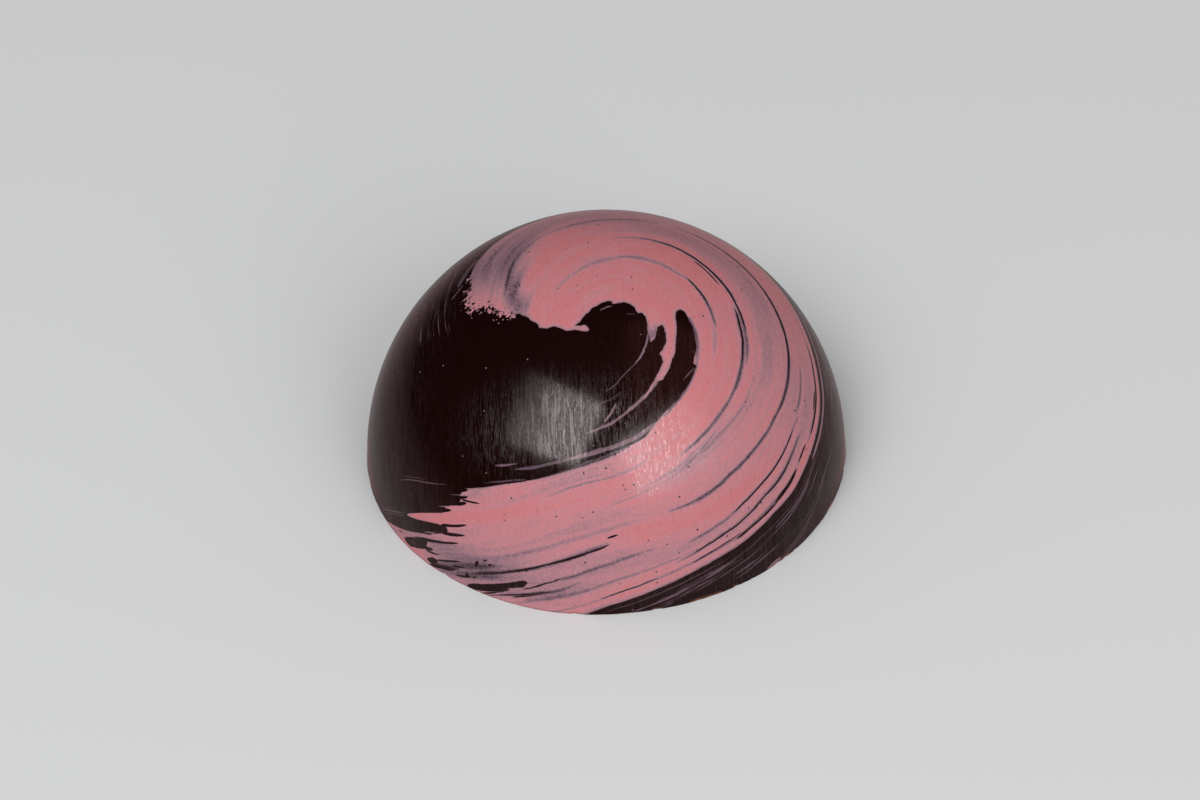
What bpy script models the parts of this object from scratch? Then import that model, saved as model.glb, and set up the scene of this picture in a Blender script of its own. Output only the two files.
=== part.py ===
"""A moulded half-sphere chocolate bonbon, standing on its flat, scraped base.

Units are metres and +Z is up. The origin is the middle of the base, so the
bonbon stands on Z = 0 with its crown straight above the origin.
"""

import math

import bpy

# Driving sizes of the mould's cavity
DIAMETER = 0.030        # across the base
HEIGHT = 0.015          # base to crown, so the dome is a full half sphere

# The lower edge, where the scraper ran along the mould's face
EDGE_HEIGHT = 0.00015   # how far up the wall the scraper broke the edge
EDGE_INSET = 0.00020    # how far in the flat base starts

# How finely the round shape is cut
TURN_STEPS = 80         # steps round the axis
DOME_STEPS = 22         # steps from the crown down to the edge

# Finish of dark couverture released from a polished mould
CHOCOLATE_COLOUR = (0.0127, 0.0044, 0.0038, 1.0)   # linear red, green, blue, alpha
CHOCOLATE_ROUGHNESS = 0.16
CHOCOLATE_METALLIC = 0.0

MERGE_DISTANCE = 0.00001    # joins the turned copies that meet on the axis


def clear_scene():
    """Take away whatever the open file holds."""
    for old in list(bpy.data.objects):
        bpy.data.objects.remove(old, do_unlink=True)


def chocolate_material():
    """Dark couverture: near-black brown with a hard, glossy skin."""
    material = bpy.data.materials.new("dark_couverture")
    material.use_nodes = True
    shader = material.node_tree.nodes["Principled BSDF"]
    shader.inputs["Base Color"].default_value = CHOCOLATE_COLOUR
    shader.inputs["Roughness"].default_value = CHOCOLATE_ROUGHNESS
    shader.inputs["Metallic"].default_value = CHOCOLATE_METALLIC
    return material


def dome_profile():
    """Half outline of the bonbon in the XZ plane, from the crown down to the base's middle.

    The dome is a quarter ellipse that stops where the scraper broke the edge.
    """
    radius = DIAMETER / 2
    lowest = math.asin(EDGE_HEIGHT / HEIGHT)
    points = []
    for step in range(DOME_STEPS + 1):
        angle = math.pi / 2 + (lowest - math.pi / 2) * step / DOME_STEPS
        points.append((radius * math.cos(angle), 0.0, HEIGHT * math.sin(angle)))
    points[0] = (0.0, 0.0, HEIGHT)
    points.append((radius - EDGE_INSET, 0.0, 0.0))
    points.append((0.0, 0.0, 0.0))
    return points


def turned_solid(name, points, material):
    """Turn an outline round the Z axis into one closed, smooth-shaded body."""
    mesh = bpy.data.meshes.new(name)
    edges = [(i, i + 1) for i in range(len(points) - 1)]
    mesh.from_pydata(points, edges, [])
    mesh.materials.append(material)
    body = bpy.data.objects.new(name, mesh)
    bpy.context.scene.collection.objects.link(body)

    turn = body.modifiers.new("turn", "SCREW")
    turn.axis = "Z"
    turn.angle = math.tau
    turn.steps = TURN_STEPS
    turn.render_steps = TURN_STEPS
    turn.use_merge_vertices = True
    turn.merge_threshold = MERGE_DISTANCE
    turn.use_smooth_shade = True
    return body


def build():
    clear_scene()
    turned_solid("bonbon", dome_profile(), chocolate_material())


build()
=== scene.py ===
import math

import bpy
import numpy as np
from mathutils import Matrix, Vector


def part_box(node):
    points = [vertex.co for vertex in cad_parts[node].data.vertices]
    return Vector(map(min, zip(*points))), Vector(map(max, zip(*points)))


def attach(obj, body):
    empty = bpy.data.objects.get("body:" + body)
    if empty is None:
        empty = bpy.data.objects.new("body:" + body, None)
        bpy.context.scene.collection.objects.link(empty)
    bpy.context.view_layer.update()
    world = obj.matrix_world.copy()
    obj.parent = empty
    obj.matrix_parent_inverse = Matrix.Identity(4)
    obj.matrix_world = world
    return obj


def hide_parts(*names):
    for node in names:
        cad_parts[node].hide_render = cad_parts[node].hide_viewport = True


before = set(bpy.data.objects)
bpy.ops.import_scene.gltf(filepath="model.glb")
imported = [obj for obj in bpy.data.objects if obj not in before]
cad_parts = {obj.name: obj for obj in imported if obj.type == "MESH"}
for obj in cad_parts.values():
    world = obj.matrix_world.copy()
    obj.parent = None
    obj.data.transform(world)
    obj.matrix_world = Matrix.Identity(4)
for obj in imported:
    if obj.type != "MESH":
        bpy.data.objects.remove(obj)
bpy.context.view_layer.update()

MM = 0.001


# ---------------------------------------------------------------------------------------
# The moulded body. A half sphere of tempered dark couverture, cast in a polished mould,
# filled, and closed with chocolate that was scraped level: a turned dome with a
# nicked, slightly squeezed-out lower edge, over a flat base sunk inside the shell's rim.

low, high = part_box("bonbon")
RADIUS = (high[0] - low[0]) / 2
HEIGHT = high[2] - low[2]
EDGE_HEIGHT = 0.03 * MM         # how far up the wall the scraper broke the edge
CAP_RADIUS = 13.2 * MM          # the closing chocolate, inside the shell's rim
CAP_STEP = 0.2 * MM             # half the width of the slope down to it
CAP_SINK = 0.12 * MM            # how far it shrank back as it set
SCRAPE_WAVES = 0.035 * MM       # unevenness left by the scraper
WAVES_PER_METRE = 260.0
CHIP_DEPTH = 0.16 * MM          # a unit of nick in the scraped edge
NICK_LEVEL = 0.58               # noise above this is a nick
NICK_GAIN = 6.0                 # how steeply a nick deepens
NICK_FINENESS = 9.0             # how finely nicks and lip vary, for a circle of radius 1
FOOT_REACH = 0.11 * MM          # chocolate squeezed out under the scraper
FOOT_AZIMUTH = math.radians(-106)
FOOT_HALF_WIDTH = math.radians(19)
LIP_HEIGHT = 0.42 * MM          # how far up the wall the nicks and the foot fade out
LIP_REACH = 0.08 * MM           # the uneven lip all round

RINGS = 220                     # crown to edge
BASE_RINGS = 14                 # edge to the middle of the base
RIM_CROWDING = 1.8              # the base's rings stand closer towards its rim
SPOKES = 400
CROWDING = 0.35                 # spokes stand closer where the paint is torn
CROWDED_AZIMUTH = math.radians(-105)
WELD = 0.0005 * MM


def add(tree, kind, *inputs, named=None, **settings):
    """Add a node: settings are its properties, inputs its values or the sockets to link."""
    node = tree.nodes.new(kind)
    for key, value in settings.items():
        setattr(node, key, value)
    for key, value in [*enumerate(inputs), *(named or {}).items()]:
        if isinstance(value, bpy.types.Node):
            value = value.outputs[0]
        if isinstance(value, bpy.types.NodeSocket):
            tree.links.new(value, node.inputs[key])
        elif value is not None:
            node.inputs[key].default_value = value
    return node


def dome_tree(sizes):
    """Geometry Nodes that turn the dome, its broken edge and its scraped base as one skin."""
    tree = bpy.data.node_groups.new("turned_dome", "GeometryNodeTree")
    tree.interface.new_socket("Geometry", in_out="OUTPUT", socket_type="NodeSocketGeometry")
    for name, value in sizes.items():
        if isinstance(value, bpy.types.Material):
            kind = "NodeSocketMaterial"
        else:
            kind = "NodeSocketInt" if isinstance(value, int) else "NodeSocketFloat"
        tree.interface.new_socket(name, in_out="INPUT", socket_type=kind)
    size = tree.nodes.new("NodeGroupInput").outputs

    def calc(operation, *values, **settings):
        return add(tree, "ShaderNodeMath", *values, operation=operation, **settings)

    rows = calc("ADD", size["Rings"], size["Base Rings"])
    grid = add(tree, "GeometryNodeMeshGrid", 1.0, rows,
               calc("ADD", size["Spokes"], 1.0), calc("ADD", rows, 1.0))
    place = add(tree, "ShaderNodeSeparateXYZ", add(tree, "GeometryNodeInputPosition"))
    row = calc("ADD", place.outputs["Y"], calc("DIVIDE", rows, 2.0))
    even = calc("MULTIPLY", place.outputs["X"], math.tau)
    bunch = calc("SINE", calc("SUBTRACT", even, size["Crowded Azimuth"]))
    turn = calc("SUBTRACT", even, calc("MULTIPLY", bunch, size["Crowding"]))

    down = calc("DIVIDE", row, size["Rings"], use_clamp=True)
    lowest = calc("ARCCOSINE", calc("DIVIDE", size["Edge Height"], size["Height"]))
    polar = calc("MULTIPLY", down, lowest)
    under = calc("DIVIDE", calc("SUBTRACT", row, size["Rings"]), size["Base Rings"],
                 use_clamp=True)
    inward = calc("SUBTRACT", 1.0, calc("POWER", under, RIM_CROWDING))
    reach = calc("MULTIPLY", calc("MULTIPLY", size["Radius"], calc("SINE", polar)), inward)
    dome_z = calc("MULTIPLY", size["Height"], calc("COSINE", polar))

    # The edge's nicks and its squeezed-out foot fade out up the wall
    spot = add(tree, "ShaderNodeCombineXYZ", calc("COSINE", turn), calc("SINE", turn))
    nicks = add(tree, "ShaderNodeTexNoise", spot, noise_dimensions="3D",
                named={"Scale": NICK_FINENESS, "Detail": 3.0, "Roughness": 0.65})
    nick = calc("MULTIPLY", calc("SUBTRACT", nicks.outputs[0], NICK_LEVEL, use_clamp=True),
                calc("MULTIPLY", size["Chip Depth"], NICK_GAIN))
    lip = calc("MULTIPLY", calc("SUBTRACT", 1.0, nicks.outputs[0]), size["Lip Reach"])
    off = calc("ABSOLUTE", calc("SUBTRACT", turn, size["Foot Azimuth"]))
    lobe = calc("SUBTRACT", 1.0, calc("DIVIDE", off, size["Foot Half Width"]), use_clamp=True)
    foot = calc("ADD", calc("MULTIPLY", calc("SQRT", lobe), size["Foot Reach"]), lip)
    close = calc("SUBTRACT", 1.0, calc("DIVIDE", dome_z, size["Lip Height"]), use_clamp=True)
    shift = calc("MULTIPLY", calc("SUBTRACT", foot, nick), calc("MULTIPLY", close, inward))
    across = calc("ADD", reach, shift)

    # The underside: the closing chocolate is sunk inside the rim, and scraped in waves
    sunk = add(tree, "ShaderNodeMapRange", across,
               calc("ADD", size["Cap Radius"], size["Cap Step"]),
               calc("SUBTRACT", size["Cap Radius"], size["Cap Step"]), 0.0, size["Cap Sink"],
               interpolation_type="SMOOTHSTEP")
    flat = add(tree, "ShaderNodeCombineXYZ", calc("MULTIPLY", calc("COSINE", turn), across),
               calc("MULTIPLY", calc("SINE", turn), across))
    waves = add(tree, "ShaderNodeTexNoise", flat, noise_dimensions="3D",
                named={"Scale": WAVES_PER_METRE, "Detail": 2.0})
    dip = add(tree, "ShaderNodeMapRange", across, size["Cap Radius"], 0.0, 0.0, 1.0)
    rough = calc("MULTIPLY", calc("MULTIPLY", waves.outputs[0], size["Scrape Waves"]), dip)
    base_z = calc("ADD", sunk, rough)
    is_base = calc("GREATER_THAN", under, 0.0)
    height = calc("ADD", calc("MULTIPLY", dome_z, calc("SUBTRACT", 1.0, is_base)),
                  calc("MULTIPLY", base_z, is_base))

    flat_place = add(tree, "ShaderNodeSeparateXYZ", flat)
    solid = add(tree, "ShaderNodeCombineXYZ", flat_place.outputs["X"],
                flat_place.outputs["Y"], height)
    moved = add(tree, "GeometryNodeSetPosition", grid, named={"Position": solid})
    welded = add(tree, "GeometryNodeMergeByDistance", moved, named={"Distance": size["Weld"]})
    turned = add(tree, "GeometryNodeFlipFaces", welded)
    smooth = add(tree, "GeometryNodeSetShadeSmooth", turned)
    real = add(tree, "GeometryNodeRealizeInstances", smooth)
    clad = add(tree, "GeometryNodeSetMaterial", real, named={"Material": size["Material"]})
    add(tree, "NodeGroupOutput", clad)
    return tree


def made_by_nodes(name, tree, sizes):
    """Run a Geometry Nodes tree once, and return its result as a plain mesh object."""
    maker = bpy.data.objects.new("maker", bpy.data.meshes.new("maker"))
    bpy.context.scene.collection.objects.link(maker)
    nodes = maker.modifiers.new("make", "NODES")
    nodes.node_group = tree
    for socket in tree.interface.items_tree:
        if socket.in_out == "INPUT":
            nodes[socket.identifier] = sizes[socket.name]
    bpy.context.view_layer.update()
    ready = maker.evaluated_get(bpy.context.evaluated_depsgraph_get())
    mesh = bpy.data.meshes.new_from_object(ready)
    maker.modifiers.remove(nodes)
    bpy.data.objects.remove(maker)
    piece = bpy.data.objects.new(name, mesh)
    bpy.context.scene.collection.objects.link(piece)
    return piece


painted_chocolate = bpy.data.materials.new("dark_couverture_with_cocoa_butter")
dome_sizes = {
    "Radius": RADIUS, "Height": HEIGHT, "Edge Height": EDGE_HEIGHT,
    "Cap Radius": CAP_RADIUS, "Cap Step": CAP_STEP, "Cap Sink": CAP_SINK,
    "Scrape Waves": SCRAPE_WAVES, "Chip Depth": CHIP_DEPTH,
    "Foot Reach": FOOT_REACH, "Foot Azimuth": FOOT_AZIMUTH,
    "Foot Half Width": FOOT_HALF_WIDTH, "Lip Height": LIP_HEIGHT, "Lip Reach": LIP_REACH,
    "Rings": RINGS, "Base Rings": BASE_RINGS, "Spokes": SPOKES,
    "Crowding": CROWDING, "Crowded Azimuth": CROWDED_AZIMUTH, "Weld": WELD,
    "Material": painted_chocolate,
}
bonbon = made_by_nodes("painted_bonbon", dome_tree(dome_sizes), dome_sizes)


# ---------------------------------------------------------------------------------------
# The brush stroke. Pink coloured cocoa butter, swept into the mould with one turn of a
# flat brush before the shell was cast, so it lies flush in the surface and has no thickness
# of its own. Its outline and the run of its bristles are stored on the body's points.

# Every bristle ran along a lane round the same pivot, and a lane is named for its distance
# from the pivot on the right. Places are millimetres of arc from the crown, on the dome
# unrolled flat: x to the right, y to the back. Turns are degrees round the pivot.

PIVOT = (0.0, -6.0)
SEAM_ANGLE = 165.0              # where the turn is cut, in the bare left side, in degrees
SEAM_FADE = 4.0                 # stray marks fade out over this many degrees before it
SEAM_END = -188.0               # and fade in again from here on its other side
LEAST_GAP = 0.05                # between neighbouring lanes, in millimetres
FACES_DOWN = -0.6               # a face whose normal is lower than this is the base's
UV_MARGIN = 1.01                # the unrolled dome ends just inside its map
BASE_ISLAND = (0.08, 0.07)      # middle and radius of the base in the map's corner
LANES = {
    2.9: [(-3.2, -8.8), (-1.2, -9.3), (0.2, -9.0), (1.4, -7.9), (2.3, -6.9), (2.75, -5.8),
          (2.9, -5.0), (2.6, -4.0), (1.7, -3.3), (0.4, -3.05), (-1.2, -4.1), (-2.0, -5.2)],
    4.2: [(-8.0, -11.2), (-4.0, -12.0), (-1.0, -11.7), (0.8, -11.0), (2.0, -10.0),
          (3.0, -8.8), (3.8, -7.5), (4.2, -6.0), (4.2, -4.6), (3.6, -3.0), (2.2, -2.0),
          (0.0, -1.8), (-1.6, -2.8), (-2.8, -4.3)],
    5.9: [(-20.5, -7.2), (-17.0, -9.2), (-13.7, -11.4), (-11.0, -12.85), (-8.0, -13.6),
          (-5.0, -13.9), (-2.3, -13.6), (0.5, -12.9), (2.6, -11.8), (4.2, -10.1),
          (5.3, -8.5), (5.85, -7.0), (5.9, -5.6), (5.5, -4.0), (4.4, -2.2), (2.4, -0.9),
          (0.0, -0.8), (-2.0, -2.0), (-3.6, -4.0)],
    9.2: [(-20.8, -9.6), (-18.2, -11.6), (-15.0, -13.5), (-12.0, -14.9), (-9.0, -15.4),
          (-6.0, -15.35), (-3.0, -14.95), (1.0, -14.4), (4.5, -12.8), (7.2, -10.2),
          (8.6, -7.9), (9.15, -5.5), (9.0, -3.2), (8.1, -0.6), (6.4, 1.4), (4.2, 2.75),
          (1.5, 3.1), (-1.5, 2.3), (-3.8, 0.4), (-5.2, -2.4)],
    12.85: [(-21.3, -10.2), (-19.0, -13.1), (-16.0, -15.5), (-13.5, -16.75),
            (-11.0, -17.65), (-8.0, -18.2), (-5.0, -18.15), (-2.0, -17.75), (1.0, -17.1),
            (4.0, -16.35), (6.5, -15.3), (9.5, -12.6), (11.7, -9.3), (12.8, -6.0),
            (12.85, -3.2), (12.0, 0.0), (10.4, 2.6), (8.0, 4.7), (4.2, 6.05), (0.0, 6.0),
            (-3.0, 5.0), (-5.1, 2.6), (-5.9, -0.5), (-6.2, -2.2)],
    15.9: [(-20.0, -15.5), (-17.0, -18.2), (-13.0, -20.4), (-9.0, -22.0), (-4.5, -22.9),
           (0.0, -22.1), (3.5, -21.0), (6.5, -19.6), (9.0, -18.1), (11.0, -16.6),
           (13.2, -14.0), (14.6, -11.9), (15.5, -9.0), (16.0, -6.6), (16.05, -4.5),
           (15.5, -2.0), (14.5, 0.6), (12.9, 3.6), (10.0, 6.6), (6.0, 8.7), (2.0, 9.2),
           (-2.0, 8.5), (-5.4, 6.6), (-7.4, 3.9), (-8.1, 1.0), (-8.2, -1.3)],
    19.2: [(-22.0, -18.5), (-16.0, -23.0), (-8.0, -26.5), (0.0, -26.8), (6.0, -25.0),
           (11.0, -21.8), (15.3, -17.6), (17.3, -15.0), (18.4, -12.3), (19.0, -9.0),
           (19.3, -6.0), (19.3, -2.5), (18.4, 1.5), (16.4, 5.5), (12.0, 10.0), (6.0, 13.0),
           (0.0, 13.8), (-6.0, 12.0), (-10.6, 8.0), (-12.6, 3.0), (-13.0, -2.0)],
}

# The bare chocolate that the stroke curls round: up its right side with two fingers that
# the bristles missed, over its rounded head, and along the torn end of the stroke.
BARE_HEART = [
    (2.6, -11.75), (3.27, -11.0), (3.91, -10.27), (4.27, -9.91), (4.82, -9.27),
    (5.23, -8.64), (5.55, -8.0), (5.77, -7.36), (5.82, -6.93), (5.68, -6.8), (5.86, -6.0),
    (5.89, -5.64), (5.77, -4.82), (5.59, -4.27), (5.32, -3.68), (5.14, -3.36),
    (4.91, -3.21), (4.68, -3.27), (4.53, -3.55), (4.55, -3.95), (4.62, -4.64),
    (4.59, -5.18), (4.53, -6.0), (4.47, -6.45), (4.27, -7.09), (4.0, -7.82),
    (3.73, -8.27), (3.36, -8.41), (3.0, -9.0), (2.55, -9.62), (2.3, -9.8), (2.45, -9.5),
    (2.91, -8.82), (3.18, -8.36), (3.5, -7.73), (3.71, -7.09), (3.64, -6.73),
    (3.5, -6.62), (3.77, -6.14), (3.94, -5.64), (3.91, -5.27), (3.82, -4.82),
    (3.68, -4.56), (3.41, -4.77), (3.32, -5.18), (3.22, -5.6), (2.95, -5.91),
    (2.84, -5.5), (2.75, -5.0), (2.73, -4.55), (2.64, -4.14), (2.45, -3.91),
    (2.18, -3.93), (2.03, -3.77), (1.98, -3.53), (1.73, -3.29), (1.36, -3.16),
    (0.91, -3.27), (0.57, -3.35), (0.65, -3.18), (0.5, -3.09), (0.18, -3.14),
    (-0.18, -3.32), (-0.64, -3.62), (-0.77, -3.82), (-1.18, -4.18), (-1.32, -4.45),
    (-1.55, -4.64), (-1.64, -4.75), (-1.36, -4.8), (-1.09, -4.75), (-0.89, -4.95),
    (-0.82, -5.14), (-0.95, -5.25), (-1.27, -5.18), (-1.64, -5.06), (-2.23, -5.05),
    (-2.73, -4.73), (-3.0, -4.59), (-3.47, -4.67), (-3.93, -4.49), (-4.0, -4.2),
    (-4.4, -3.87), (-4.6, -3.53), (-5.0, -3.27), (-5.33, -3.0), (-5.8, -3.1),
    (-6.27, -2.87), (-6.6, -2.47), (-6.93, -2.2), (-7.33, -1.67), (-7.6, -1.4),
    (-8.0, -1.53), (-8.47, -1.2), (-8.73, -0.6), (-8.8, -0.07), (-8.67, 0.73),
    (-8.4, 1.93), (-10.5, 2.5), (-15.0, -2.0), (-14.0, -10.0), (-9.0, -12.4),
    (-4.0, -12.9), (0.0, -12.2),
]

# Where the paint begins on each lane at the ragged start, in degrees of turn
START_EDGE = [
    (5.90, -147.0), (6.35, -147.0), (6.68, -147.2), (7.25, -146.0), (7.66, -146.4),
    (7.72, -150.0), (8.00, -150.0), (8.06, -148.6), (8.30, -149.0), (8.50, -150.5),
    (8.58, -153.5), (8.62, -156.0), (8.75, -161.0), (8.85, -162.3), (9.02, -161.6),
    (9.15, -159.8), (9.42, -157.0), (9.54, -152.0), (9.58, -148.0), (9.90, -146.6),
    (10.05, -147.2), (10.15, -146.0), (10.60, -147.0), (10.70, -150.5), (10.95, -151.5),
    (11.05, -156.0), (11.25, -158.2), (11.42, -160.5), (11.50, -164.5), (11.90, -170.0),
    (12.20, -178.0),
]
INNER_EDGE = ([-180.0, -140.0, -120.0, -100.0, -85.0, -66.0, -60.0, -48.0, 170.0],
              [5.95, 6.05, 5.98, 5.83, 5.80, 6.03, 5.80, 0.0, 0.0])
OUTER_EDGE = ([-180.0, -26.0, -12.0, 5.0, 165.0], [16.58, 16.38, 16.52, 16.45, 16.40])

# Places where the paint went on thinner: angle, lane, their reach, and how much thinner
THIN_PLACES = [
    (-138, 12.0, 26, 1.0, 0.20), (-105, 7.7, 17, 1.3, 0.22), (-100, 6.2, 22, 0.35, 0.30),
    (-122, 14.7, 24, 1.1, 0.20), (-45, 10.9, 30, 1.3, 0.18), (-45, 15.2, 34, 0.7, 0.18),
    (20, 11.4, 36, 1.3, 0.26), (66, 11.6, 36, 1.9, 0.22), (2, 15.0, 26, 0.8, 0.22),
    (92, 14.6, 40, 2.0, 0.28), (126, 13.6, 15, 3.0, 0.28), (139, 11.2, 12, 1.9, 0.44),
    (145, 9.2, 8, 1.5, 0.46), (134, 15.6, 10, 1.5, 0.20), (-80, 13.0, 70, 6.0, 0.08),
    (14, 3.1, 9, 0.32, 0.45), (-156, 9.0, 8, 0.6, 0.14), (-146, 12.4, 9, 0.8, 0.26),
    (-143, 6.6, 6, 0.8, 0.20), (-134, 13.9, 16, 1.2, 0.38), (-100, 14.1, 24, 1.2, 0.10),
    (-156, 11.4, 12, 0.6, 0.30), (-166, 12.6, 6, 0.8, 0.20), (-5, 13.6, 20, 0.8, 0.20),
    (-93, 12.1, 16, 0.8, 0.12), (-142, 10.2, 6, 0.8, 0.14),
]


def turn_and_reach(x, y):
    """Angle in degrees and distance of places from the brush's pivot."""
    dx = np.asarray(x) - PIVOT[0]
    dy = np.asarray(y) - PIVOT[1]
    angle = np.degrees(np.arctan2(dy, dx))
    return np.where(angle > SEAM_ANGLE, angle - 360.0, angle), np.hypot(dx, dy)


def lane_reach(angle, route):
    """A lane's distance from the pivot: a smooth curve through the lane's own places."""
    knots, reach = turn_and_reach(*np.array(route).T)
    slope = np.gradient(reach, knots)
    i = np.clip(np.searchsorted(knots, angle) - 1, 0, len(knots) - 2)
    span = knots[i + 1] - knots[i]
    t = np.clip((angle - knots[i]) / span, 0.0, 1.0)
    beyond = np.minimum(angle - knots[0], 0) * slope[0]
    beyond += np.maximum(angle - knots[-1], 0) * slope[-1]
    return (beyond + (2 * t**3 - 3 * t**2 + 1) * reach[i] + (3 * t**2 - 2 * t**3) * reach[i + 1]
            + ((t**3 - 2 * t**2 + t) * slope[i] + (t**3 - t**2) * slope[i + 1]) * span)


def lane_places(x, y):
    """The turn and the lane of each place, and its distance from the pivot."""
    angle, reach = turn_and_reach(x, y)
    inner_name, inner = 0.0, np.zeros_like(reach)
    lane = np.zeros_like(reach)
    for name, route in LANES.items():
        outer = lane_reach(angle, route)
        share = (reach - inner) / np.maximum(outer - inner, LEAST_GAP)
        lane = np.where(reach >= inner, inner_name + share * (name - inner_name), lane)
        inner_name, inner = name, outer
    return angle, lane, reach


def distance_inside(x, y, outline):
    """Distance to a closed outline, positive inside it."""
    nearest = np.full(x.shape, 1e9)
    inside = np.zeros(x.shape, bool)
    for (ax, ay), (bx, by) in zip(outline, outline[1:] + outline[:1]):
        ex, ey = bx - ax, by - ay
        t = np.clip(((x - ax) * ex + (y - ay) * ey) / (ex * ex + ey * ey), 0.0, 1.0)
        nearest = np.minimum(nearest, np.hypot(x - ax - t * ex, y - ay - t * ey))
        if ey:
            inside ^= ((ay > y) != (by > y)) & (x < ax + ex * (y - ay) / ey)
    return np.where(inside, nearest, -nearest)


def lay_out_paint(mesh):
    """Write the stroke's smooth fields on the mesh's points, for the material to sharpen."""
    points = np.empty(len(mesh.vertices) * 3)
    mesh.vertices.foreach_get("co", points)
    px, py, pz = points.reshape(-1, 3).T
    out = np.hypot(px, py)
    arc = RADIUS / MM * np.arctan2(out / RADIUS, pz / HEIGHT)
    x = arc * px / np.maximum(out, 1e-9)
    y = arc * py / np.maximum(out, 1e-9)
    turn, lane, reach = lane_places(x, y)

    per_degree = reach * math.pi / 180
    painted = np.minimum.reduce([
        lane - np.interp(turn, *INNER_EDGE),
        np.interp(turn, *OUTER_EDGE) - lane,
        (turn - np.interp(lane, *np.array(START_EDGE).T)) * per_degree,
        -distance_inside(x, y, BARE_HEART),
    ])
    thin = np.zeros_like(x)
    for angle, middle, angle_reach, lane_width, amount in THIN_PLACES:
        thin += amount * np.exp(-((turn - angle) / angle_reach) ** 2
                                - ((lane - middle) / lane_width) ** 2)
    before_seam = np.clip((SEAM_ANGLE - SEAM_FADE - turn) / SEAM_FADE, 0, 1)
    swept = before_seam * np.clip((turn - SEAM_END) / SEAM_FADE, 0, 1)
    fields = {"turn": turn, "lane": lane, "painted": painted, "thin": thin, "swept": swept}
    for name, values in fields.items():
        mesh.attributes.new(name, "FLOAT", "POINT").data.foreach_set("value", values)

    # The bake's map: the dome unrolled flat, and the base small in a corner beside it
    corners = np.empty(len(mesh.loops), dtype=np.int32)
    mesh.loops.foreach_get("vertex_index", corners)
    starts = np.empty(len(mesh.polygons), dtype=np.int32)
    mesh.polygons.foreach_get("loop_start", starts)
    normals = np.empty(len(mesh.polygons) * 3)
    mesh.polygons.foreach_get("normal", normals)
    counts = np.diff(np.append(starts, len(corners)))
    under = np.repeat(normals[2::3] < FACES_DOWN, counts)
    half_width = RADIUS / MM * math.pi / 2 * UV_MARGIN
    dome_uv = 0.5 + 0.5 * np.stack([x, y], 1)[corners] / half_width
    island_middle, island_radius = BASE_ISLAND
    base_uv = island_middle + island_radius * np.stack([px, py], 1)[corners] / RADIUS
    uv = np.where(under[:, None], base_uv, dome_uv)
    mesh.uv_layers.new(name="OFBake").data.foreach_set("uv", uv.ravel())


lay_out_paint(bonbon.data)


# ---------------------------------------------------------------------------------------
# The surface. Tempered dark couverture takes the mould's polish: near-black brown, hard and
# glossy, with upright polishing lines in its shine. The pink is titanium white and red lake
# in brushed cocoa butter: opaque where thick, mauve where thin, parted by the bristles.

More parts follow.
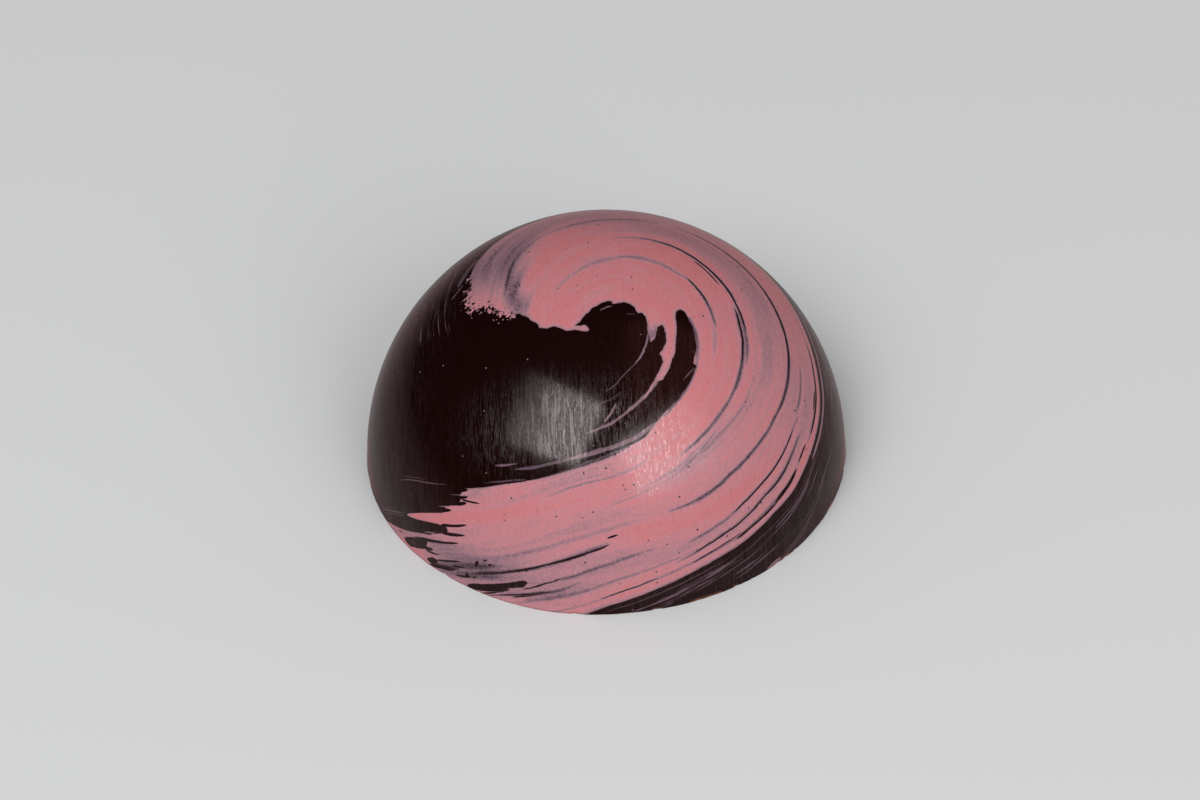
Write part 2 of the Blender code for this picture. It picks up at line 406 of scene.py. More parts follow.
# The marks of single bristles. Each is a lane, half its width in millimetres, the turns
# where it begins and ends, how many degrees each end tapers over, how far it drifts across
# the lanes for each degree, and how strong it is. These ones left the chocolate bare.
BARE_MARKS = [
    (6.20, 0.16, -150, -145.3, 1, 1.0, 0.0, 1.0), (6.88, 0.14, -150, -144.2, 1, 0.8, 0.0, 1.0),
    (7.47, 0.18, -151, -143.7, 1, 0.8, 0.0, 1.0), (8.24, 0.22, -154, -147.5, 1, 2.5, -0.02, 1.0),
    (9.63, 0.16, -149, -140.7, 1, 2.0, 0.0, 1.0), (7.06, 0.08, -146, -139.4, 1, 2, 0.085, 1.0),
    (10.45, 0.18, -148, -140.1, 1, 3, 0.038, 1.0), (10.98, 0.06, -156, -150.8, 1, 1, 0.0, 1.0),
    (11.66, 0.15, -155, -141.4, 1, 2.5, -0.006, 1.0),
    (11.76, 0.15, -157, -146.0, 2, 6, -0.010, 1.0),
    (11.95, 0.10, -163.8, -162.2, 0.6, 0.6, 0.0, 0.7),
    (12.78, 0.66, -161, -151.9, 3, 1.2, -0.06, 1.0),
    (12.68, 0.20, -155, -149.3, 1, 1.5, 0.0, 1.0), (12.95, 0.08, -152, -147.0, 1, 2, 0.015, 1.0),
    (13.70, 0.32, -151, -147.0, 2, 2, 0.0, 1.0), (14.10, 0.15, -150, -140.6, 2, 2, -0.006, 1.0),
    (13.55, 0.08, -148, -139.6, 2, 2, -0.026, 1.0),
    (13.38, 0.21, -134.7, -133.3, 0.5, 0.5, 0.0, 1.0),
    (13.45, 0.07, -130.2, -128.9, 0.5, 0.5, 0.0, 1.0),
    (13.13, 0.06, -132.1, -130.9, 0.5, 0.5, 0.0, 1.0),
    (13.75, 0.07, -142, -137, 1.5, 2, 0.0, 1.0),
    (14.45, 0.08, -140.3, -134.8, 1.5, 1.5, -0.01, 1.0),
    (14.30, 0.20, -137.1, -135.9, 0.5, 0.5, 0.0, 1.0),
    (14.38, 0.07, -134.7, -133.4, 0.5, 0.5, 0.0, 1.0),
    (15.08, 0.18, -136, -116.8, 2, 1.2, -0.027, 1.0),
    (15.22, 0.10, -134, -122, 3, 3, -0.022, 1.0), (14.88, 0.040, -118, -106, 1, 5, -0.034, 1.0),
    (15.42, 0.05, -131.5, -124, 1, 2, -0.04, 1.0),
    (14.08, 0.042, -134.5, -110, 3, 4, -0.0146, 1.0),
    (13.75, 0.040, -113, -89.5, 4, 2, -0.005, 1.0), (13.32, 0.05, -90.5, -86.5, 1, 2, 0.0, 1.0),
    (15.40, 0.032, -121, -109, 1.5, 5, -0.034, 1.0),
    (15.45, 0.028, -129, -111, 2, 5, -0.025, 1.0), (15.90, 0.028, -93, -74, 4, 6, 0.0, 1.0),
    (15.93, 0.035, -62, -44, 4, 3, -0.008, 1.0), (15.95, 0.060, -46, -28, 2, 3, 0.004, 1.0),
    (15.95, 0.12, -29, -16.5, 2, 3, -0.014, 1.0), (15.76, 0.07, -15, -8.6, 2, 1.5, 0.0, 1.0),
    (15.90, 0.09, -5, 22, 3, 12, 0.002, 1.0), (15.68, 0.08, 2, 8, 2, 2, 0.0, 1.0),
    (15.42, 0.035, -61, -49, 2, 4, -0.004, 1.0), (15.38, 0.040, -54, -13, 4, 12, -0.009, 1.0),
    (14.58, 0.042, -44, -9.5, 3, 2, -0.006, 1.0), (12.84, 0.05, 4, 26, 8, 4, 0.0070, 1.0),
    (13.00, 0.065, 20, 42, 4, 8, -0.004, 1.0), (9.17, 0.050, 2, 26, 8, 2, 0.0, 1.0),
    (9.53, 0.055, 17, 33, 3, 5, -0.010, 1.0), (9.40, 0.070, 27, 68, 5, 8, -0.0035, 1.0),
    (9.03, 0.050, 38, 52.5, 4, 1.5, 0.0, 1.0), (7.50, 0.035, 29, 46, 6, 6, 0.0, 1.0),
    (5.80, 0.09, -137, -90, 8, 6, -0.004, 1.0), (5.60, 0.07, -100, -65, 6, 3, 0.0115, 1.0),
    (5.58, 0.10, -19, -8.8, 4, 0.8, 0.03, 1.0),
]
# Wedges of paint that run on past the ragged start
START_WEDGES = [
    (7.83, 0.08, -152.4, -147, 3, 1, -0.01, 0.85), (6.70, 0.05, -150.4, -146, 3, 1, -0.02, 0.8),
    (10.83, 0.08, -154.0, -150.0, 1, 1, -0.05, 0.85),
]
# Traces of paint that stray bristles left on the bare chocolate
STRAY_TRACES = [
    (16.93, 0.12, -10, 38, 5, 20, 0.0, 0.95), (19.33, 0.14, -38.6, -33.0, 2, 2.5, 0.0, 0.95),
    (4.14, 0.060, -103, -64, 10, 6, 0.0, 0.78), (4.12, 0.085, -76, -34, 8, 4, 0.0046, 0.80),
    (2.93, 0.032, -89, 4, 8, 10, 0.0, 0.55), (2.93, 0.070, -38, 17, 20, 3, -0.0015, 0.85),
    (3.33, 0.025, -97, -73, 3, 3, -0.001, 0.50), (4.00, 0.070, -91, -79.5, 2, 1.5, -0.038, 0.80),
    (5.28, 0.09, -133, -92, 6, 4, 0.001, 0.55), (5.32, 0.13, -110, -55, 8, 5, 0.0088, 0.72),
    (5.78, 0.05, -141, -126, 4, 3, 0.006, 0.48), (4.99, 0.05, -141, -132.5, 3, 3, 0.0, 0.7),
    (6.08, 0.045, -169.5, -153, 4, 6, -0.010, 0.60), (5.86, 0.020, -168.5, -160, 2, 3, 0.0, 0.45),
    (5.48, 0.05, -22.5, -11, 5, 3, 0.03, 0.65), (2.49, 0.05, 76, 94, 3, 4, -0.010, 0.70),
    (2.50, 0.03, 44, 53, 1.5, 1.5, -0.035, 0.60), (8.72, 0.08, -176, -163, 4, 3, 0.01, 0.50),
    (9.05, 0.06, -173, -162.5, 4, 2, 0.0, 0.42), (8.45, 0.04, -176, -166, 3, 3, 0.012, 0.36),
    (12.60, 0.05, -158.6, -156.2, 1, 0.6, 0.10, 0.45), (17.22, 0.05, -33, -8, 3, 5, 0.0, 0.60),
    (17.30, 0.03, -26, -6, 3, 4, 0.0, 0.46), (18.95, 0.07, -14, 2, 2, 5, 0.0, 0.50),
    (19.20, 0.05, -33, -8, 4, 4, 0.0, 0.52), (17.55, 0.04, -64, -38, 4, 5, 0.0, 0.50),
    (18.0, 0.04, -50, -42, 1, 1, 0.0, 0.55), (17.0, 0.04, -70, 0, 10, 10, 0.0, 0.40),
    (16.72, 0.04, -92, -50, 10, 10, 0.0, 0.48), (16.48, 0.13, 127.5, 140.0, 3, 3, 0.042, 0.62),
    (16.67, 0.05, 139.0, 145.5, 1, 1, 0.08, 0.55),
]
# Soft lines where the paint is thin but not parted
SOFT_MARKS = [
    (12.98, 0.10, -125, -74, 16, 14, 0.0, 0.18), (12.92, 0.11, -66, 2, 14, 6, -0.002, 0.50),
    (12.80, 0.12, -10, 26, 8, 4, 0.007, 0.70), (13.00, 0.16, 18, 44, 5, 10, -0.004, 0.70),
    (12.95, 0.17, 34, 68, 8, 24, -0.004, 0.62), (12.75, 0.20, 72, 108, 10, 10, -0.010, 0.36),
    (12.52, 0.20, 100, 142, 14, 8, 0.010, 0.22), (9.55, 0.14, -52, -10, 18, 8, -0.009, 0.50),
    (9.20, 0.14, -18, 28, 8, 4, -0.001, 0.56), (9.50, 0.15, 2, 34, 8, 6, -0.004, 0.46),
    (9.42, 0.17, 28, 78, 6, 14, -0.004, 0.62), (9.14, 0.12, 66, 86, 8, 8, 0.0, 0.34),
    (7.45, 0.11, 17, 50, 3, 6, 0.001, 0.58), (7.38, 0.18, 46, 82, 8, 10, -0.006, 0.50),
    (7.02, 0.18, 78, 106, 10, 10, -0.008, 0.32), (6.78, 0.14, 98, 126, 8, 10, -0.006, 0.22),
    (7.12, 0.14, 0, 18, 6, 6, 0.012, 0.28), (14.02, 0.10, -134, -90, 5, 8, -0.011, 0.40),
    (15.62, 0.09, -119, -104, 3, 5, -0.030, 0.26), (14.48, 0.07, -108, -73, 4, 10, -0.002, 0.28),
    (15.36, 0.07, -124, -99, 4, 8, -0.022, 0.30),
    (13.92, 0.16, -147.5, -139.5, 1, 1.5, 0.0, 0.50),
    (15.27, 0.06, -112, -56, 6, 12, 0.001, 0.24), (15.92, 0.07, -110, -86, 8, 6, 0.0, 0.36),
    (15.92, 0.07, -86, -44, 8, 6, 0.0, 0.34), (15.95, 0.12, -48, -14, 5, 6, -0.003, 0.42),
    (15.85, 0.15, -8, 34, 4, 16, 0.002, 0.45), (15.52, 0.08, -68, -46, 6, 8, -0.010, 0.36),
    (15.36, 0.10, -58, -8, 8, 12, -0.008, 0.38), (14.78, 0.08, -62, -42, 8, 6, -0.009, 0.36),
    (14.56, 0.09, -46, -4, 4, 8, -0.006, 0.38), (14.12, 0.10, -4, 12, 4, 5, 0.0, 0.38),
    (6.02, 0.18, -124, -76, 12, 12, 0.0, 0.50), (5.98, 0.12, -50, 24, 6, 6, 0.0, 0.40),
    (13.70, 0.26, -150, -128, 4, 8, -0.01, 0.20), (14.40, 0.28, -146, -126, 4, 8, -0.01, 0.16),
    (10.30, 0.12, -46, 22, 16, 16, -0.002, 0.20), (11.30, 0.10, -92, -30, 14, 16, -0.024, 0.20),
    (10.80, 0.10, -86, -36, 14, 14, -0.022, 0.16), (9.15, 0.20, -118, -66, 14, 12, -0.014, 0.30),
]

# Where the paint ends, in millimetres on the surface and degrees of turn
ALONG = 0.17                    # degrees of turn to a length on the streak patterns
RAGGED_REACH = 0.16             # how far edges are torn to and fro
RAGGED_MARKS = 0.45             # the share of it that bristle marks take
WOBBLE_REACH = 0.14             # how far marks stray off their lanes
TORN_TURN = 1.2                 # how many degrees the marks' ends stray
EDGE_SOFTNESS = 0.03
TAIL_TURNS = (133.0, 141.0)     # the end of the stroke breaks into crumbs between these
TAIL_LANES = (8.5, 10.5)
TAIL_CRUMBLE = 2.9
CRUMB_SIZE = 0.27 * MM
HAIR_LEVELS = (0.56, 0.66)      # noise between these draws a hairline
HAIR_STRENGTH = 0.66
HAIRS_FROM_LANES = (16.5, 17.0)
HAIRS_TO_LANES = (19.0, 20.5)

# How thick the paint lies, from 0 to 1
FULL_BODY = 0.97
LEAST_BODY = 0.24
STREAK_MIDDLE = 0.48            # noise that neither thickens nor thins the paint
STREAK_DEPTH = 0.42             # single bristles
BROAD_DEPTH = 0.60              # the brush's thick and thin parts
GRAIN_DEPTH = 0.42
GRAIN_SIZE = 0.16 * MM          # coarser than real pigment, so that it shows
BRIM_REACH = 0.5                # paint thins out over this many millimetres at its edges
BRIM_THINNING = 0.40
SOFT_SHARE = 0.9                # a soft mark fades over this share of its half width

# Pinholes, and pale specks that are painted sparkle highlights: their spacing, and their sizes as
# shares of it
PINHOLE_SPACING = 0.62 * MM
PINHOLE_CORE = 0.05
PINHOLE_SIZES = (0.075, 0.15)
PINHOLES_KEPT_ABOVE = 0.52
SPARKLE_SPACING = 0.44 * MM
SPARKLE_SIZES = (0.05, 0.12)
SPARKLE_STRENGTH = 0.4
# rarer painted sparkle highlights, on the bare chocolate too
SPARKLE_ON_CHOCOLATE = 1.1
SPARKLES_KEPT_ABOVE = 0.94

# Bare chocolate, through thin mauve, to full pink
PAINT_STOPS = [(0.0, "#180706"), (0.14, "#2c191b"), (0.34, "#5f4a55"), (0.54, "#92707b"),
               (0.72, "#b37f88"), (0.87, "#c68289"), (1.0, "#cb7a7e")]
# The colour of the pale specks, which are painted sparkle highlights
PAINTED_SPARKLE_COLOUR = "#e9c3c2"
SMEARED_COCOA = "#a2643c"
SMEAR_SIZE = 1.6 * MM
SMEAR_HEIGHTS = (0.10 * MM, 0.22 * MM)
SMEAR_LEVELS = (0.55, 0.68)
SMEAR_STRENGTH = 0.8

# The shine of tempered chocolate and cocoa butter
IOR = 1.46
SHINE_TINT = "#fff1f0"
ROUGHNESS_LEVELS = (0.35, 0.70)
ROUGHNESS = (0.10, 0.17)
PAINT_ROUGHENING = 0.05
POLISH_WIDTH = 0.17 * MM        # the mould's polishing lines, drawn coarse enough to show
POLISH_LENGTH = 2.4 * MM
POLISH_TILT = math.radians(9.0)
GROOVE_WIDTH = 0.022
SKIN_GRAIN = 0.12 * MM
SKIN_RELIEF = 0.8
RELIEF_HEIGHT = 0.0042 * MM
RELIEF_STRENGTH = 0.5
GLOSS_LEVELS = (0.36, 0.64)
GLOSS = (0.30, 0.84)
GROOVE_GLOSS = 0.65
GLINT_WIDTH = 0.08 * MM         # single bright scratches in the reflections
GLINT_LENGTH = 0.3 * MM
GLINT_LEVELS = (0.56, 0.72)
GLINT_ON_CHOCOLATE = 0.45
GLINT_ON_PAINT = 1.5


def linear(hex_colour):
    """An sRGB hex colour as linear red, green, blue and alpha."""
    parts = [int(hex_colour[i:i + 2], 16) / 255 for i in (1, 3, 5)]
    return (*[p / 12.92 if p <= 0.04045 else ((p + 0.055) / 1.055) ** 2.4 for p in parts], 1.0)


def bristle_mark_group():
    """One bristle's mark along a lane, with tapered ends, laid over the marks so far."""
    group = bpy.data.node_groups.new("bristle_mark", "ShaderNodeTree")
    for name in ("So Far", "Turn", "Across", "Lane", "Half Width", "From", "To",
                 "Taper From", "Taper To", "Drift", "Strength", "Softness"):
        group.interface.new_socket(name, in_out="INPUT", socket_type="NodeSocketFloat")
    group.interface.new_socket("Marks", in_out="OUTPUT", socket_type="NodeSocketFloat")
    given = group.nodes.new("NodeGroupInput").outputs

    def calc(operation, *values, **settings):
        return add(group, "ShaderNodeMath", *values, operation=operation, **settings)

    past = calc("SUBTRACT", given["Turn"], given["From"])
    left = calc("SUBTRACT", given["To"], given["Turn"])
    middle = calc("MULTIPLY_ADD", past, given["Drift"], given["Lane"])
    off = calc("ABSOLUTE", calc("SUBTRACT", given["Across"], middle))
    ends = calc("MINIMUM", calc("DIVIDE", past, given["Taper From"]),
                calc("DIVIDE", left, given["Taper To"]))
    width = calc("MULTIPLY", calc("SQRT", calc("MAXIMUM", calc("MINIMUM", ends, 1.0), 0.0)),
                 given["Half Width"])
    depth = calc("ADD", calc("SUBTRACT", width, off), calc("MINIMUM", ends, 0.0))
    cover = add(group, "ShaderNodeMapRange", depth, calc("MULTIPLY", given["Softness"], -1.0),
                given["Softness"], 0.0, given["Strength"], interpolation_type="SMOOTHSTEP")
    add(group, "NodeGroupOutput", calc("MAXIMUM", given["So Far"], cover))
    return group


def dress_chocolate(material):
    """Build the chocolate's and the paint's nodes in one material."""
    material.use_nodes = True
    tree = material.node_tree
    shader = tree.nodes["Principled BSDF"]
    mark_group = bristle_mark_group()

    def calc(operation, *values, **settings):
        return add(tree, "ShaderNodeMath", *values, operation=operation, **settings)

    def field(name):
        return add(tree, "ShaderNodeAttribute", attribute_name=name).outputs["Fac"]

    def brushed(per_length, per_lane, layer, detail, roughness=0.5):
        """A pattern drawn out along the lanes; each has its own layer of the noise."""
        spot = add(tree, "ShaderNodeCombineXYZ", calc("MULTIPLY", along, per_length),
                   calc("MULTIPLY", lane, per_lane), layer)
        return add(tree, "ShaderNodeTexNoise", spot, named={
            "Scale": 1.0, "Detail": detail, "Roughness": roughness}).outputs[0]

    def marks(rows, across, softness=None):
        """Lay a list of bristle marks over each other; softness is in millimetres."""
        so_far = 0.0
        for row in rows:
            soft = softness or row[1] * SOFT_SHARE
            so_far = add(tree, "ShaderNodeGroup", so_far, torn_turn, across, *row, soft,
                         node_tree=mark_group)
        return so_far

    turn, lane, painted = field("turn"), field("lane"), field("painted")
    thin, swept = field("thin"), field("swept")
    place = add(tree, "ShaderNodeTexCoord").outputs["Object"]
    along = calc("MULTIPLY", turn, ALONG)

    # Edges torn along the bristles, and wobble that keeps long lines from looking ruled
    tear = calc("SUBTRACT", brushed(0.9, 7.0, layer=0.0, detail=3.0), 0.5)
    ragged = calc("MULTIPLY", tear, RAGGED_REACH)
    wobble = calc("SUBTRACT", brushed(0.8, 0.8, layer=0.0, detail=2.0), 0.5)
    across = calc("MULTIPLY_ADD", wobble, WOBBLE_REACH, lane)
    torn_across = calc("MULTIPLY_ADD", ragged, RAGGED_MARKS, across)
    torn_turn = calc("MULTIPLY_ADD", tear, TORN_TURN, turn)
    crumbs = add(tree, "ShaderNodeTexNoise", place, named={
        "Scale": 1 / CRUMB_SIZE, "Detail": 2.0, "Roughness": 0.6})
    tail = add(tree, "ShaderNodeMapRange", turn, *TAIL_TURNS, 0.0, 1.0)
    tail_reach = add(tree, "ShaderNodeMapRange", lane, *TAIL_LANES, 0.0, TAIL_CRUMBLE)
    crumble = calc("MULTIPLY", calc("MULTIPLY", tail, tail_reach),
                   calc("SUBTRACT", crumbs.outputs[0], 0.5))
    edge = calc("ADD", calc("ADD", painted, ragged), crumble)
    cover = add(tree, "ShaderNodeMapRange", edge, -EDGE_SOFTNESS, EDGE_SOFTNESS, 0.0, 1.0,
                interpolation_type="SMOOTHSTEP")

    wedges = marks(START_WEDGES, torn_across, EDGE_SOFTNESS)
    bare = marks(BARE_MARKS, torn_across, EDGE_SOFTNESS)
    traces = marks(STRAY_TRACES, torn_across, EDGE_SOFTNESS)
    on = calc("MULTIPLY", calc("MAXIMUM", cover, calc("MULTIPLY", wedges, swept)),
              calc("SUBTRACT", 1.0, bare))

    # Fine hairlines that stray bristles left in the bare band outside the stroke
    hairs = brushed(0.28, 5.5, layer=3.7, detail=4.0, roughness=0.6)
    hair = add(tree, "ShaderNodeMapRange", hairs, *HAIR_LEVELS, 0.0, HAIR_STRENGTH)
    outside = add(tree, "ShaderNodeMapRange", lane, *HAIRS_FROM_LANES, 0.0, 1.0)
    near = add(tree, "ShaderNodeMapRange", lane, *HAIRS_TO_LANES, 1.0, 0.0)
    stray = calc("MULTIPLY", calc("MULTIPLY", hair, outside), calc("MULTIPLY", near, swept))
    laid = calc("MAXIMUM", on, calc("MAXIMUM", calc("MULTIPLY", traces, swept), stray))

    # How thick the paint lies: thin places, soft lines, and streaks along every bristle
    soft_lines = marks(SOFT_MARKS, across)
    streaks = calc("SUBTRACT", brushed(0.22, 3.2, layer=9.1, detail=5.0, roughness=0.62),
                   STREAK_MIDDLE)
    broad = brushed(0.12, 0.9, layer=5.3, detail=3.0)
    grain = add(tree, "ShaderNodeTexNoise", place, named={
        "Scale": 1 / GRAIN_SIZE, "Detail": 2.0})
    streak = calc("ADD", calc("MULTIPLY", streaks, STREAK_DEPTH),
                  calc("MULTIPLY", calc("SUBTRACT", broad, 0.5), BROAD_DEPTH))
    speck = calc("MULTIPLY", calc("SUBTRACT", grain.outputs[0], 0.5), GRAIN_DEPTH)
    body = calc("SUBTRACT", FULL_BODY, calc("ADD", thin, soft_lines))
    body = calc("MAXIMUM", calc("ADD", body, calc("ADD", streak, speck)), LEAST_BODY)
    brim = add(tree, "ShaderNodeMapRange", edge, 0.0, calc("MULTIPLY", broad, BRIM_REACH),
               BRIM_THINNING, 0.0)
    body = calc("SUBTRACT", calc("MINIMUM", body, 1.0), calc("MULTIPLY", brim, body))
    depth = calc("MULTIPLY", laid, body)

    # Pinholes where the paint never wetted the mould, and pale specks that are painted
    # highlights: tiny sparkles of light on the paint, and rarer ones on the bare chocolate
    dots = add(tree, "ShaderNodeTexVoronoi", place, named={"Scale": 1 / PINHOLE_SPACING})
    chosen = add(tree, "ShaderNodeSeparateColor", dots.outputs["Color"])
    pin_size = calc("MULTIPLY_ADD", chosen.outputs[1], PINHOLE_SIZES[1] - PINHOLE_SIZES[0],
                    PINHOLE_SIZES[0])
    pin = add(tree, "ShaderNodeMapRange", dots.outputs["Distance"], PINHOLE_CORE, pin_size,
              1.0, 0.0)
    kept = calc("GREATER_THAN", chosen.outputs[0], PINHOLES_KEPT_ABOVE)
    depth = calc("MULTIPLY", depth, calc("SUBTRACT", 1.0, calc("MULTIPLY", pin, kept)))
    # Painted highlights: pale specks stand in for sparkles of light, mostly where the paint lies
    sparkle_cells = add(tree, "ShaderNodeTexVoronoi", place, named={"Scale": 1 / SPARKLE_SPACING})
    sparkle = add(tree, "ShaderNodeMapRange", sparkle_cells.outputs["Distance"], *SPARKLE_SIZES,
                SPARKLE_STRENGTH, 0.0)
    picked = add(tree, "ShaderNodeSeparateColor", sparkle_cells.outputs["Color"])
    rare_sparkle = calc("MULTIPLY", calc("GREATER_THAN", picked.outputs[1], SPARKLES_KEPT_ABOVE),
                SPARKLE_ON_CHOCOLATE)
    sparkle_on_paint = calc("MULTIPLY", calc("POWER", picked.outputs[0], 2.0), laid)
    painted_sparkle = calc("MULTIPLY", sparkle, calc("MAXIMUM", sparkle_on_paint, rare_sparkle))

    ramp = add(tree, "ShaderNodeValToRGB", depth)
    colours = ramp.color_ramp.elements
    colours[0].color = linear(PAINT_STOPS[0][1])
    colours[1].color = linear(PAINT_STOPS[-1][1])
    for at, colour in PAINT_STOPS[1:-1]:
        colours.new(at).color = linear(colour)
    # Mix the painted sparkle highlights into the paint's colour
    pale = add(tree, "ShaderNodeMix", data_type="RGBA",
               named={0: painted_sparkle, 6: ramp.outputs["Color"], 7: linear(PAINTED_SPARKLE_COLOUR)})

    # The scraped edge shows lighter cocoa where the knife smeared it
    height = add(tree, "ShaderNodeSeparateXYZ", place).outputs["Z"]
    smears = add(tree, "ShaderNodeTexNoise", place, named={"Scale": 1 / SMEAR_SIZE})
    low_down = add(tree, "ShaderNodeMapRange", height, *SMEAR_HEIGHTS, 1.0, 0.0)
    patchy = add(tree, "ShaderNodeMapRange", smears.outputs[0], *SMEAR_LEVELS,
                 0.0, SMEAR_STRENGTH)
    smeared = add(tree, "ShaderNodeMix", data_type="RGBA",
                  named={0: calc("MULTIPLY", low_down, patchy), 6: pale.outputs[2],
                         7: linear(SMEARED_COCOA)})
    tree.links.new(smeared.outputs[2], shader.inputs["Base Color"])

    # Shine: the mould's polishing lines run up it, and its skin has the finest grain
    upright = add(tree, "ShaderNodeMapping", place, named={
        "Rotation": (0.0, POLISH_TILT, 0.0),
        "Scale": (1 / POLISH_WIDTH, 1 / POLISH_LENGTH, 1 / POLISH_LENGTH)})
    polish = add(tree, "ShaderNodeTexNoise", upright, named={
        "Scale": 1.0, "Detail": 4.0, "Roughness": 0.65}).outputs[0]
    groove = add(tree, "ShaderNodeMapRange", calc("ABSOLUTE", calc("SUBTRACT", polish, 0.5)),
                 0.0, GROOVE_WIDTH, 0.0, 1.0, interpolation_type="SMOOTHSTEP")
    skin = add(tree, "ShaderNodeTexNoise", place, named={"Scale": 1 / SKIN_GRAIN})
    shine = add(tree, "ShaderNodeMapRange", polish, *ROUGHNESS_LEVELS, *ROUGHNESS)
    roughness = calc("MULTIPLY_ADD", depth, PAINT_ROUGHENING, shine)
    tree.links.new(roughness.outputs[0], shader.inputs["Roughness"])
    relief = calc("ADD", groove, calc("ADD", polish,
                                      calc("MULTIPLY", skin.outputs[0], SKIN_RELIEF)))
    bump = add(tree, "ShaderNodeBump", named={
        "Strength": RELIEF_STRENGTH, "Distance": RELIEF_HEIGHT, "Height": relief})
    tree.links.new(bump.outputs[0], shader.inputs["Normal"])
    gloss = add(tree, "ShaderNodeMapRange", polish, *GLOSS_LEVELS, *GLOSS)
    glint_place = add(tree, "ShaderNodeMapping", place, named={
        "Scale": (1 / GLINT_WIDTH, 1 / GLINT_LENGTH, 1 / GLINT_LENGTH)})
    glints = add(tree, "ShaderNodeTexNoise", glint_place, named={"Scale": 1.0, "Detail": 1.0})
    glint = add(tree, "ShaderNodeMapRange", glints.outputs[0], *GLINT_LEVELS, 0.0,
                calc("MULTIPLY_ADD", depth, GLINT_ON_PAINT, GLINT_ON_CHOCOLATE))
    dulled = calc("MULTIPLY", gloss,
                  calc("MULTIPLY_ADD", groove, 1.0 - GROOVE_GLOSS, GROOVE_GLOSS))
    tree.links.new(calc("ADD", dulled, glint).outputs[0], shader.inputs["Specular IOR Level"])
    shader.inputs["Specular Tint"].default_value = linear(SHINE_TINT)
    shader.inputs["IOR"].default_value = IOR
    shader.inputs["Metallic"].default_value = 0.0


dress_chocolate(painted_chocolate)
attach(bonbon, "root")
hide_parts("bonbon")


# ---------------------------------------------------------------------------------------
# The floor. A plain, pale, matt board, larger than any view of the bonbon.

FLOOR_HALF = 1.5                # metres
BOARD_COLOUR = "#dfe0e1"

floor_mesh = bpy.data.meshes.new("floor")
floor_corners = [(x * FLOOR_HALF, y * FLOOR_HALF, 0)
                 for x, y in ((-1, -1), (1, -1), (1, 1), (-1, 1))]
floor_mesh.from_pydata(floor_corners, [], [(0, 1, 2, 3)])
floor = bpy.data.objects.new("floor", floor_mesh)
bpy.context.scene.collection.objects.link(floor)
matt_board = bpy.data.materials.new("pale_matt_board")
matt_board.use_nodes = True
board_shader = matt_board.node_tree.nodes["Principled BSDF"]
board_shader.inputs["Base Color"].default_value = linear(BOARD_COLOUR)
board_shader.inputs["Roughness"].default_value = 0.85
floor_mesh.materials.append(matt_board)


# ---------------------------------------------------------------------------------------
# The light and the camera. One large softbox up to the front left and a weaker one to the
# front right give the dome its two reflections. A faint red card overhead is seen only in
# the shine, and an even light fills in all round.

LAMP_DISTANCE = 0.6
EVEN_LIGHT = 0.38

# How bright the board is in the shine, from level down to straight below, as linear red,
# green and blue; a ray's downward slope times GLOW_SPREAD is its place on this ramp
GLOW_SPREAD = -1.25
GLOW_START = 0.04
GLOW_STOPS = [
    (0.19, (0.145, 0.088, 0.090)), (0.31, (0.215, 0.135, 0.135)),
    (0.50, (0.265, 0.190, 0.190)), (0.73, (0.27, 0.25, 0.25)), (0.83, (0.27, 0.17, 0.17)),
]
GLOW_END_COLOUR = (0.25, 0.12, 0.12)


def softbox(name, toward, across, width, depth, radiance, dim, bright):
    """An area light that faces the bonbon, dimmer towards one end of its width.

    Its width runs along `across`, and its light grows from place `dim` to place `bright`,
    both in shares of the width, until it reaches its radiance.
    """
    lamp = bpy.data.lights.new(name, "AREA")
    lamp.shape = "RECTANGLE"
    lamp.size = width
    lamp.size_y = depth
    lamp.energy = radiance * math.pi * width * depth
    lamp.use_nodes = True
    tree = lamp.node_tree
    spot = add(tree, "ShaderNodeSeparateXYZ",
               add(tree, "ShaderNodeNewGeometry").outputs["Parametric"])
    share = add(tree, "ShaderNodeMapRange", spot.outputs[0], dim, bright, 0.0, 1.0,
                interpolation_type="SMOOTHSTEP")
    tree.links.new(share.outputs[0], tree.nodes["Emission"].inputs["Strength"])
    back = Vector(toward).normalized()
    side = Vector(across)
    side = (side - back * side.dot(back)).normalized()
    box = bpy.data.objects.new(name, lamp)
    box.matrix_world = Matrix.Translation(back * LAMP_DISTANCE) @ Matrix(
        (side, back.cross(side), back)).transposed().to_4x4()
    bpy.context.scene.collection.objects.link(box)
    return box


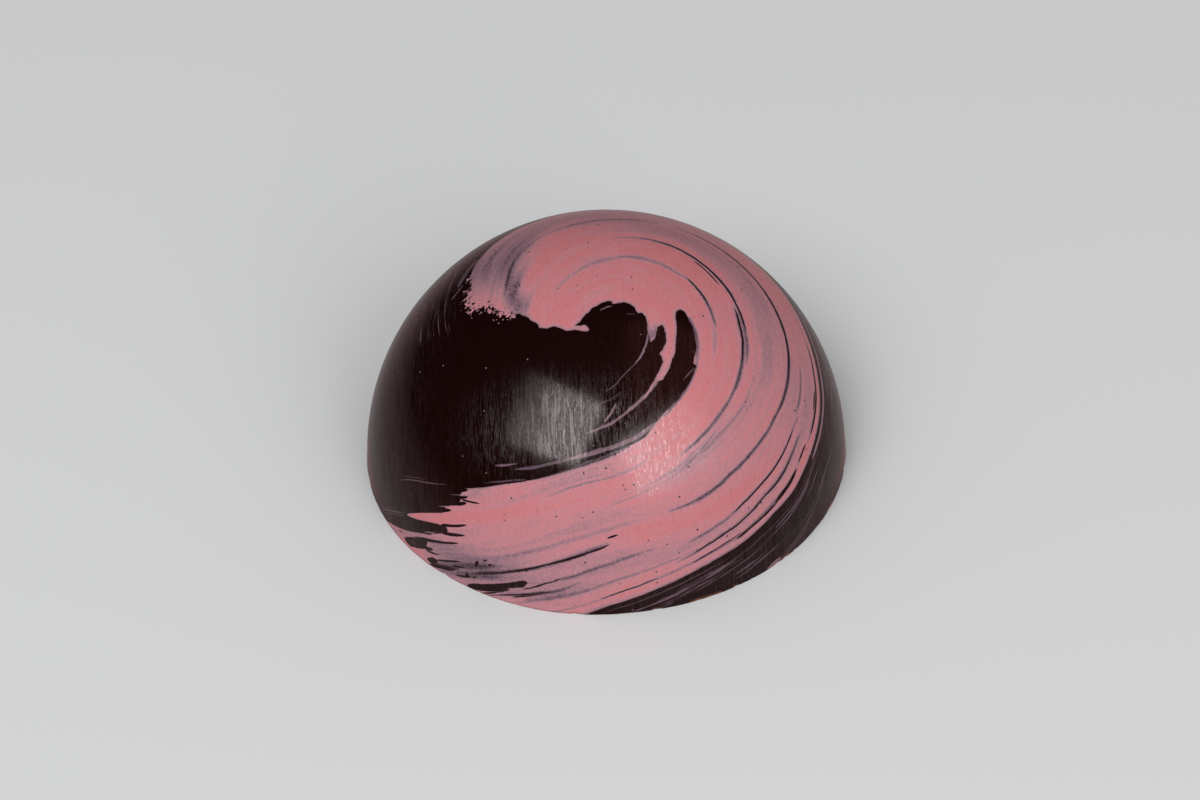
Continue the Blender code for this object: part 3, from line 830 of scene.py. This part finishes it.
softbox("front_left_softbox", toward=(-0.494, -0.450, 0.758), across=(0.822, -0.570, 0.018),
        width=0.56, depth=0.35, radiance=4.95, dim=0.10, bright=0.75)
softbox("front_right_softbox", toward=(0.50, -0.64, 0.575), across=(0.67, 0.74, 0.0),
        width=0.50, depth=0.33, radiance=3.1, dim=1.3, bright=0.1)
card = softbox("overhead_card", toward=(0.45, -0.15, 0.88), across=(1.0, 0.0, 0.0),
               width=0.55, depth=0.55, radiance=0.28, dim=0.12, bright=0.26)
card.data.color = (1.0, 0.42, 0.40)
card.visible_diffuse = False

# The board fills the shadows evenly, but is only dimly seen in the bonbon's shine
world = bpy.data.worlds.new("even_light")
world.use_nodes = True
world.cycles.sampling_method = "NONE"
sky = world.node_tree
fill = sky.nodes["Background"]
fill.inputs["Color"].default_value = linear("#ffffff")
fill.inputs["Strength"].default_value = EVEN_LIGHT
gaze = add(sky, "ShaderNodeSeparateXYZ", add(sky, "ShaderNodeTexCoord").outputs["Generated"])
downward = add(sky, "ShaderNodeMath", gaze.outputs["Z"], GLOW_SPREAD, operation="MULTIPLY")
board_glow = add(sky, "ShaderNodeValToRGB", downward)
glow_stops = board_glow.color_ramp.elements
glow_stops[0].position = GLOW_START
glow_stops[1].color = (*GLOW_END_COLOUR, 1.0)
for at, colour in GLOW_STOPS:
    glow_stops.new(at).color = (*colour, 1.0)
seen_in_shine = add(sky, "ShaderNodeBackground", board_glow)
rays = add(sky, "ShaderNodeLightPath").outputs["Is Glossy Ray"]
both = add(sky, "ShaderNodeMixShader", rays, fill, seen_in_shine)
sky.links.new(both.outputs[0], sky.nodes["World Output"].inputs["Surface"])
floor.visible_glossy = False
bpy.context.scene.world = world

ELEVATION = math.radians(41.86)
DISTANCE = 0.300
AIM = (-0.0003, 0.0020, 0.0023)
LENS_MM = 143.2
SENSOR_MM = 36.0
ROLL = math.radians(-1.67)
CLIP_START = 0.01

camera_data = bpy.data.cameras.new("camera")
camera_data.lens = LENS_MM
camera_data.sensor_width = SENSOR_MM
camera_data.clip_start = CLIP_START
camera = bpy.data.objects.new("camera", camera_data)
stand = Vector((0.0, -DISTANCE * math.cos(ELEVATION), DISTANCE * math.sin(ELEVATION)))
looking = (Vector(AIM) - stand).to_track_quat("-Z", "Y").to_matrix().to_4x4()
camera.matrix_world = Matrix.Translation(stand) @ looking @ Matrix.Rotation(ROLL, 4, "Z")
bpy.context.scene.collection.objects.link(camera)
bpy.context.scene.camera = camera
bpy.context.scene.view_settings.view_transform = "Standard"
